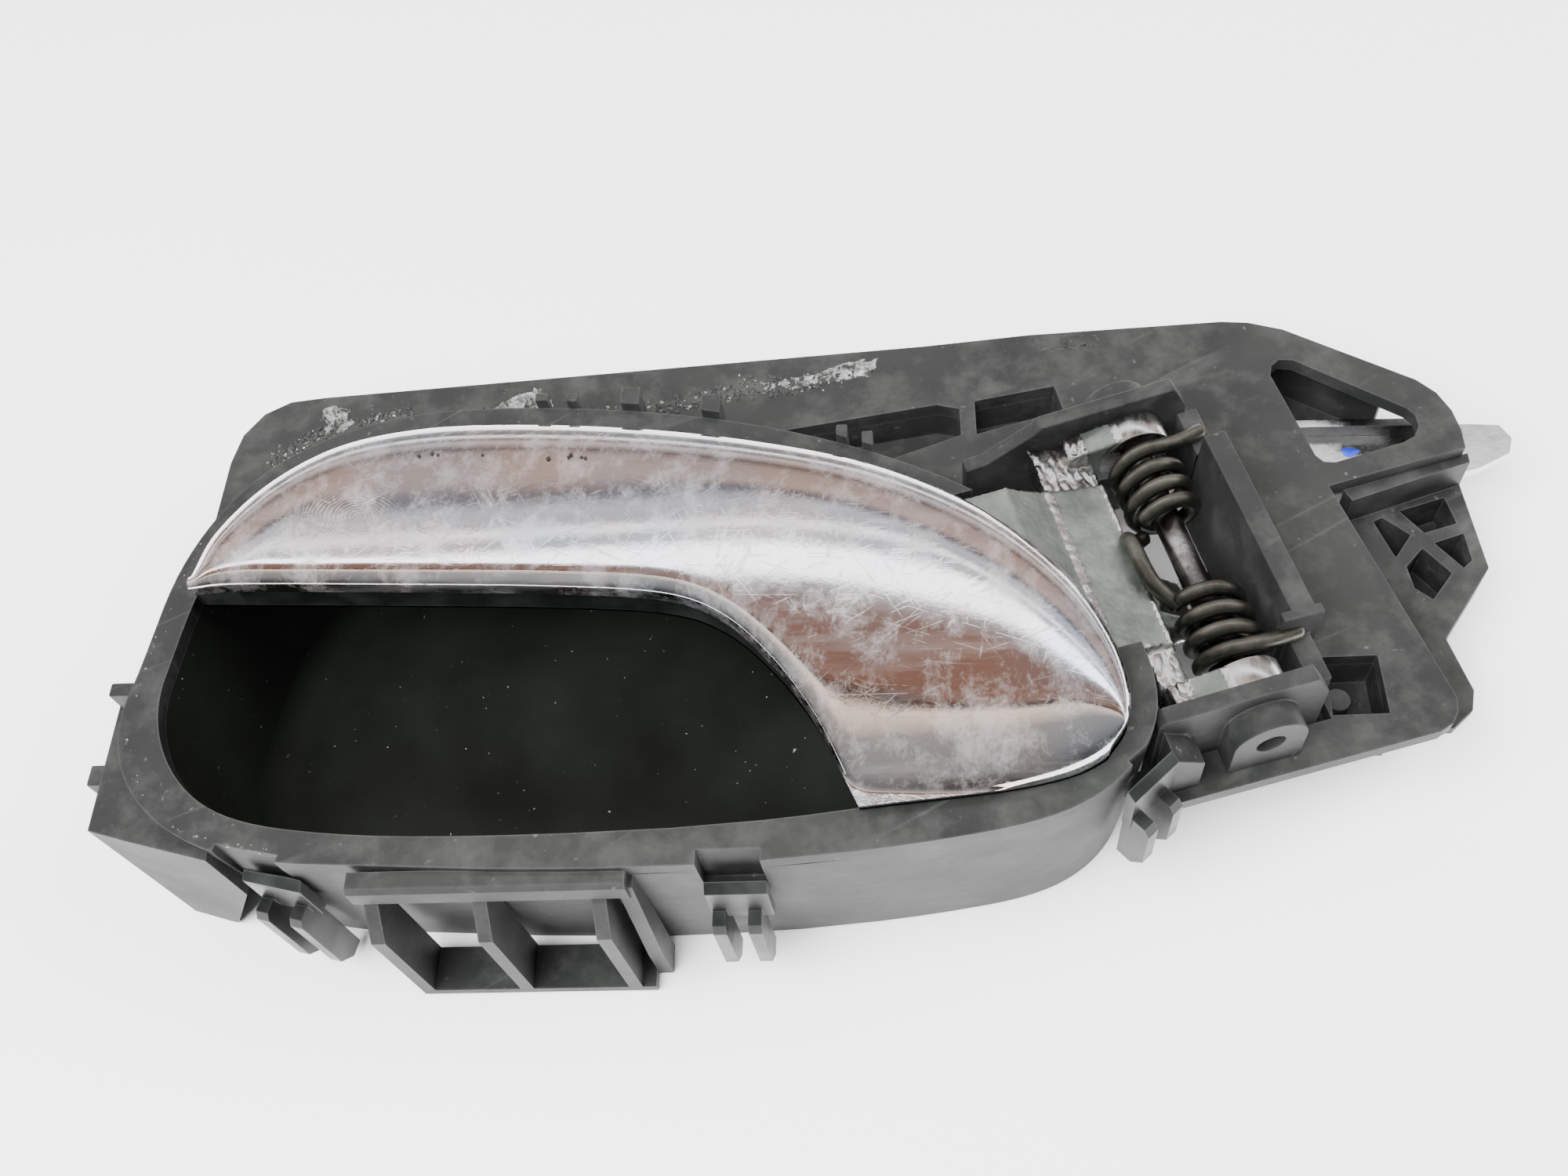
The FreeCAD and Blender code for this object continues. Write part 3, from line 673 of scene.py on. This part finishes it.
def lever_grid(across=40, along=150):
    outer = flat_line(LEVER_OUTER[:HEEL + 1])
    heel = flat_line(LEVER_OUTER)[HEEL * 14:]
    inner = flat_line(LEVER_INNER)
    us, vs = eased(along, 0.8), eased(across, 0.92)
    top, low = resampled(outer, us), resampled(inner, us)
    left = [low[0].lerp(top[0], v) for v in vs]
    right = resampled(list(reversed(heel)), vs)
    grid = []
    for i, u in enumerate(us):
        row = []
        for j, v in enumerate(vs):
            ruled = low[i] * (1 - v) + top[i] * v + left[j] * (1 - u) + right[j] * u
            corners = (low[0] * (1 - u) * (1 - v) + low[-1] * u * (1 - v) + top[0] * (1 - u) * v
                       + top[-1] * u * v)
            row.append(ruled - corners)
        grid.append(row)
    convex = flat_line(LEVER_OUTER, 6)
    concave = flat_line(LEVER_INNER, 6)
    points = [point for row in grid for point in row]
    x, y = np.array([p.x for p in points]), np.array([p.y for p in points])
    drop = roll(distance_to(convex, x, y), *OUTER_ROLL) + roll(distance_to(concave, x, y), *INNER_ROLL)
    for point, low in zip(points, drop):
        point.z = max(crown(point.x, point.y) - low, COVER_BOTTOM + LEAST_EDGE)
    return grid


def cover_under(point):
    """Height of the cover's underside below a point of its top."""
    return max(COVER_BOTTOM, point.z - SHELL)


def add_lever_cover():
    grid = lever_grid()
    rows, columns = len(grid), len(grid[0])
    verts = [p for row in grid for p in row]
    top = len(verts)
    verts += [Vector((p.x, p.y, cover_under(p))) for row in grid for p in row]
    faces = []
    for i in range(rows - 1):
        for j in range(columns - 1):
            a, b = i * columns + j, (i + 1) * columns + j
            faces.append((a, b, b + 1, a + 1))
            faces.append((top + a, top + a + 1, top + b + 1, top + b))
    edge = ([i * columns for i in range(rows)] + [(rows - 1) * columns + j for j in range(1, columns)]
            + [i * columns + columns - 1 for i in range(rows - 2, -1, -1)]
            + [j for j in range(columns - 2, 0, -1)])
    for a, b in zip(edge, edge[1:] + edge[:1]):
        faces.append((a, b, top + b, top + a))
    new_piece("cover", verts, faces, "lever", "bright_chrome", ["lever_cover"], 60)
    return grid, edge


def add_lever_lip(grid, edge):
    """Dark backing that shows as a thin line under the chrome."""
    columns = len(grid[0])
    flat = [Vector((p.x, p.y, 0)) for row in grid for p in row]
    moved = {}
    for k, corner in enumerate(edge):
        before, after = flat[edge[k - 2]], flat[edge[(k + 2) % len(edge)]]
        way = (after - before).normalized()
        moved[corner] = flat[corner] + Vector((-way.y, way.x, 0)) * BACKING_INSET
    for corner, point in moved.items():
        flat[corner] = point
    tops = [cover_under(p) - 0.01 for row in grid for p in row]
    verts = [Vector((p.x, p.y, BACKING_BOTTOM)) for p in flat]
    verts += [Vector((p.x, p.y, z)) for p, z in zip(flat, tops)]
    count = len(flat)
    faces = []
    for i in range(len(grid) - 1):
        for j in range(columns - 1):
            a, b = i * columns + j, (i + 1) * columns + j
            faces.append((a, a + 1, b + 1, b))
            faces.append((count + a, count + b, count + b + 1, count + a + 1))
    for a, b in zip(edge, edge[1:] + edge[:1]):
        faces.append((a, b, count + b, count + a))
    new_piece("lip", verts, faces, "lever", "black_plastic", ["lever_backing"], 40)


# ------------------------------------------------------------------ cast arm

def add_casting():
    arm = cad_copy("lever_casting", "cast_arm", 0.5)
    remesh = arm.modifiers.new("remesh", "REMESH")
    remesh.mode = "VOXEL"
    remesh.voxel_size = 0.28 * MM
    apply_modifiers(arm)
    mesh = arm.data
    middle = at_hinge(0, 0, 0)
    along, across = at_hinge(0, 1, 0) - middle, at_hinge(1, 0, 0) - middle
    zone, places = [], []
    for vert, normal in zip(mesh.vertices, [v.normal.copy() for v in mesh.vertices]):
        p = vert.co / MM
        s, t = (p - middle).dot(across), (p - middle).dot(along)
        lump = noise.noise(p * 0.4) * 0.12 + noise.noise(p * 2.1) * 0.04
        ragged = 0.5 + 0.5 * noise.noise(Vector((t * 0.9, p.z * 0.5, 3)))
        crease = math.exp(-((s + 15) / 0.55) ** 2) if p.z > 27 and -13 < t < 15 else 0
        # the cast face's right edge: ragged lumps, and a painted highlight where zone 2 below makes it bright
        right_edge = math.exp(-((s + 6.8) / 0.5) ** 2) if p.z > 25.5 and -13 < t < 17 else 0
        lump += crease * 0.5 * ragged + right_edge * 0.3 * ragged
        torn = 1 if (t > 14.5 or t < -12) and s < -7.5 and p.z > 24.5 else 0
        lump += torn * (abs(noise.noise(Vector((s * 1.3, t * 0.35, p.z * 0.6)))) * 0.7 - 0.2)
        # ring: the lugs; above z 24 they get bright machined zinc, partly a painted highlight
        ring = math.hypot(s, p.z - PIN_Z) < 5.4 and abs(t) > 18
        if ring:
            lump *= 0.15
        # zone 2 is bright zinc: torn metal on the crease and torn ends, painted highlight on the right edge
        zone.append(1 if ring and p.z > 24 else 2 if crease > 0.45 or right_edge > 0.6 or torn else 0)
        places.extend((p + normal * lump) * MM)
    mesh.vertices.foreach_set("co", places)
    mesh.update()
    mesh.polygons.foreach_set("use_smooth", [True] * len(mesh.polygons))
    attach(arm, "lever")
    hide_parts("lever_casting")
    paint(arm, "raw_zinc_casting")
    arm.data.materials.append(EXTRA["machined_zinc_and_lug_highlight"][0])
    arm.data.materials.append(EXTRA["torn_zinc_and_edge_highlight"][0])
    for face in arm.data.polygons:
        face.material_index = max(zone[k] for k in face.vertices)


def add_lug_faces():
    """Machined bands over the top arc of the two lugs of the cast arm, bright partly as a painted highlight.
    """
    for name, sign in (("lug_face_rear", 1), ("lug_face_front", -1)):
        verts, faces = [], []
        steps = 36
        profile = ((4.5, 18.55), (5.0, 18.55), (5.08, 18.7), (5.08, 22.3), (5.0, 22.45), (4.5, 22.45))
        for k in range(steps + 1):
            # the bands span only the lugs' top arc; their brightness there is partly painted highlight
            angle = math.radians(-62 + 134 * k / steps)
            for size, along in profile:
                verts.append(at_hinge(size * math.sin(angle), sign * along, PIN_Z + size * math.cos(angle)))
        count = len(profile)
        for k in range(steps):
            for j in range(count):
                n = (j + 1) % count
                faces.append((k * count + j, (k + 1) * count + j, (k + 1) * count + n, k * count + n))
        faces.append(tuple(range(count)))
        faces.append(tuple(range(steps * count, (steps + 1) * count)))
        new_piece(name, verts, faces, "lever", "machined_zinc_and_lug_highlight", (), 50)


# ------------------------------------------------------------------ return spring

COIL_R = 4.15           # a little more than the plain solid's
WIRE_R = 1.12
PACK_START = 6.7        # ends of each coil pack, from the hinge's middle
PACK_END = 16.5


def coil(start, end, first_angle, turns, hand):
    """Points of a coil pack round the pin, from one place along it to another."""
    points = []
    steps = int(turns * 28)
    for k in range(steps + 1):
        share = k / steps
        angle = math.radians(first_angle) + hand * share * turns * 2 * math.pi
        along = start + (end - start) * share
        points.append(at_hinge(COIL_R * math.sin(angle), along, PIN_Z + COIL_R * math.cos(angle)))
    return points


def add_spring():
    """Two coil packs with their legs on the housing, and the middle loop that the lever carries."""
    legs = {1: ((2.6, 0.1, 3.9), (4.8, 0.5, 3.3), (7.0, 1.1, 2.9), (9.0, 1.6, 2.7)),
            -1: ((2.6, 0.0, 3.9), (4.8, -0.2, 3.3), (7.0, -0.5, 2.9), (8.8, -0.8, 2.7))}
    for name, sign in (("spring_rear", 1), ("spring_front", -1)):
        pack = coil(sign * PACK_START, sign * PACK_END, -60, 3.18, 1)
        stops = [at_hinge(x, sign * (PACK_END + y), PIN_Z + z) for x, y, z in legs[sign]]
        leg = smooth_line([pack[-1]] + stops, 5)
        verts, faces = tube(pack + leg[1:], WIRE_R)
        new_piece(name, verts, faces, "housing", "spring_steel", ["return_spring"] if sign > 0 else (), 60)
    loop = smooth_line([at_hinge(-3.0, 6.9, 23.1), at_hinge(-4.6, 6.1, 23.5), at_hinge(-5.9, 5.5, 25.0),
                        at_hinge(-6.6, 4.9, 27.2), at_hinge(-6.9, 3.4, 29), at_hinge(-6.9, 1, 29.6),
                        at_hinge(-6.8, -1.4, 29.5), at_hinge(-6.3, -3.6, 28.9), at_hinge(-5.1, -5.4, 27.9),
                        at_hinge(-3.9, -6.8, 26.9)], 8)
    verts, faces = tube(loop, WIRE_R)
    new_piece("spring_loop", verts, faces, "lever", "spring_steel", (), 60)


# ------------------------------------------------------------------ weld scars, grains and paint

PLATE_TOP = 20
SCAR_BASE = 19.98       # scars start just inside the plate
RIM_BURR_BASE = 32.75   # burrs start just inside the rim


def inside(points, x, y):
    odd = False
    for (x0, y0), (x1, y1) in zip(points, points[1:] + points[:1]):
        if (y0 > y) != (y1 > y) and x < (x1 - x0) * (y - y0) / (y1 - y0) + x0:
            odd = not odd
    return odd


def scar(name, points, base, height, seed, slot="torn_plastic"):
    """Torn, ridged patch left where a weld was broken."""
    step = 0.28
    line = [Vector((x, y, 0)) for x, y in points + points[:1]]
    x0, x1 = min(p[0] for p in points), max(p[0] for p in points)
    y0, y1 = min(p[1] for p in points), max(p[1] for p in points)
    columns, rows = int((x1 - x0) / step) + 1, int((y1 - y0) / step) + 1
    index, verts, faces = {}, [], []
    for i in range(columns + 1):
        for j in range(rows + 1):
            x, y = x0 + i * step, y0 + j * step
            wobble = noise.noise(Vector((x * 0.6, y * 0.6, seed))) * 0.8
            if not inside(points, x + wobble, y + wobble):
                continue
            edge = min(float(distance_to(line, x, y)[0]) / 0.9, 1)
            ridge = abs(noise.noise(Vector((x * 0.9 + y * 0.5, y * 2.4, seed))))
            fine = abs(noise.noise(Vector((x * 3.1, y * 3.3, seed + 5))))
            tuft = max(noise.noise(Vector((x * 0.8, y * 0.9, seed + 11))), 0) ** 2
            z = base + edge * height * (0.1 + 1.7 * ridge ** 1.5 + 0.8 * fine + 5.5 * tuft)
            index[i, j] = len(verts)
            verts.append(Vector((x, y, z)))
    for (i, j), k in index.items():
        corners = [index.get(c) for c in ((i, j), (i + 1, j), (i + 1, j + 1), (i, j + 1))]
        if None not in corners:
            faces.append(tuple(corners))
    count = len(verts)
    verts += [Vector((v.x, v.y, base - 0.15)) for v in verts]
    border = {}
    for face in faces:
        for a, b in zip(face, face[1:] + face[:1]):
            if (b, a) in border:
                del border[b, a]
            else:
                border[a, b] = True
    faces += [tuple(count + k for k in reversed(face)) for face in list(faces)]
    faces += [(b, a, count + a, count + b) for a, b in border]
    used = sorted({k for face in faces for k in face})
    renumber = {k: n for n, k in enumerate(used)}
    verts = [verts[k] for k in used]
    faces = [tuple(renumber[k] for k in face) for face in faces]
    return new_piece(name, verts, faces, "housing", slot, (), 80)


def lump_at(centre, size, draw):
    """A small crumb: a rough, squashed ball."""
    bm = bmesh.new()
    bmesh.ops.create_icosphere(bm, subdivisions=1, radius=1)
    verts = []
    for v in bm.verts:
        rough = 1 + draw.uniform(-0.3, 0.3)
        verts.append(centre + Vector((v.co.x, v.co.y, v.co.z * 0.6)) * size * rough)
    faces = [tuple(v.index for v in f.verts) for f in bm.faces]
    bm.free()
    return verts, faces


def grains(name, line, spread, count, base, sizes, body, slot, seed, height=None):
    """Crumbs strewn along a line."""
    draw = random.Random(seed)
    verts, faces = [], []
    for _ in range(count):
        centre = resampled(line, [draw.random()])[0].copy()
        centre.x += draw.gauss(0, spread)
        centre.y += draw.gauss(0, spread)
        size = draw.uniform(*sizes)
        centre.z = (height(centre.x, centre.y) if height else base) + size * 0.25
        more, more_faces = lump_at(centre, size, draw)
        faces += [tuple(k + len(verts) for k in face) for face in more_faces]
        verts += more
    new_piece(name, verts, faces, body, slot, (), 40)


def add_scars():
    scar("scar_left", [(-78.1, 46.0), (-76.3, 46.6), (-73.5, 45.8), (-71.9, 42.6), (-73.1, 40.2),
                       (-76.4, 40.4)], SCAR_BASE, 0.75, 1)
    scar("scar_middle", [(-52.7, 43.2), (-49, 44.2), (-45.4, 46.6), (-41.6, 47.4), (-39.5, 45.6),
                         (-39.2, 42.6), (-34.5, 40.6), (-39, 39.6), (-47.2, 40.1)], SCAR_BASE, 0.7, 2)
    scar("scar_right", [(-7.8, 45.9), (-2.2, 46.4), (2.8, 47.2), (7.8, 49.4), (12.7, 49.4), (11.7, 46.2),
                        (5.3, 45), (-2.1, 43.9)], SCAR_BASE, 0.55, 3)
    scar("scar_far", [(36.8, 51.6), (47.1, 51.8), (46.9, 49.3), (38.4, 49)], SCAR_BASE, 0.35, 4,
         "filled_plastic")
    line = [Vector((x, y, 0)) for x, y in ((-84, 35.6), (-80.6, 38.2), (-77.1, 40.2), (-71.9, 40.8),
                                           (-68.3, 42.6), (-63.3, 43.8))]
    grains("grains_left", line, 0.9, 420, PLATE_TOP, (0.1, 0.42), "housing", "filled_plastic", 11)
    grains("grains_bright", line, 0.8, 150, PLATE_TOP, (0.1, 0.34), "housing", "torn_plastic", 14)
    line = [Vector((x, y, 0)) for x, y in ((-54, 40.4), (-47, 40.2), (-34.5, 40.8), (-27, 41.3),
                                           (-20.8, 42.1), (-14.6, 43.5), (-7.1, 45), (0, 45), (9, 47))]
    grains("grains_long", line, 0.8, 900, PLATE_TOP, (0.12, 0.5), "housing", "filled_plastic", 12)
    grains("grains_pale", line, 0.9, 320, PLATE_TOP, (0.1, 0.36), "housing", "torn_plastic", 13)
    line = [Vector((x, y, 0)) for x, y in ((-84.6, 12.3), (-86.3, 6), (-87.7, -4.3), (-88.5, -11.5),
                                           (-88.9, -16), (-88, -20.9), (-84.7, -26.6), (-81.5, -29.9),
                                           (-76.5, -33), (-61.5, -36.3))]
    grains("rim_burrs", line, 0.25, 220, RIM_BURR_BASE, (0.1, 0.36), "housing", "torn_plastic", 21)


def add_lever_crumbs():
    line = [Vector((x, y, 0)) for x, y in ((-51.9, 20.1), (-43.4, 20.5), (-22.4, 17.5))]
    grains("lever_crumbs", line, 0.25, 9, 0, (0.16, 0.4), "lever", "black_plastic", 31, crown)


def add_paint_dot():
    """Small dab of blue inspection paint on the link."""
    verts, faces = [], []
    count = 26
    top = 12.06
    for size, z in ((1.0, top - 0.055), (0.94, top), (0.5, top + 0.03)):
        for k in range(count):
            angle = 2 * math.pi * k / count
            wave = 1 + 0.14 * math.sin(3 * angle + 1) + 0.05 * math.sin(7 * angle)
            verts.append(Vector((83.5 + 1.25 * size * wave * math.cos(angle),
                                 32.3 + 0.85 * size * wave * math.sin(angle), z)))
    for ring in (0, 1):
        for k in range(count):
            n = (k + 1) % count
            faces.append((ring * count + k, ring * count + n, (ring + 1) * count + n, (ring + 1) * count + k))
    faces.append(tuple(range(2 * count, 3 * count)))
    faces.append(tuple(reversed(range(count))))
    new_piece("paint_dab", verts, faces, "link", "blue_paint", (), 50)


add_moulded()
add_lever_lip(*add_lever_cover())
add_casting()
add_lug_faces()
add_spring()
add_scars()
add_paint_dot()
add_lever_crumbs()
frame["nodes"]["cover_screws"].data.materials.clear()
frame["nodes"]["cover_screws"].data.materials.append(MATERIALS["plated_steel"])


# ------------------------------------------------------------------ floor and light

def add_floor():
    half = 1.6
    floor = mesh_object("floor", [(-half, -half, -0.0005), (half, -half, -0.0005), (half, half, -0.0005),
                                  (-half, half, -0.0005)], [(0, 1, 2, 3)])
    floor.data.materials.append(floor_white())


add_camera()
add_world()
add_floor()
area_light("key", (-0.35, -0.35, 0.85), (0, 0, 0), (0.9, 0.7), 45)
area_light("fill", (0.7, 0.1, 0.7), (0, 0, 0), (0.6, 0.6), 14)
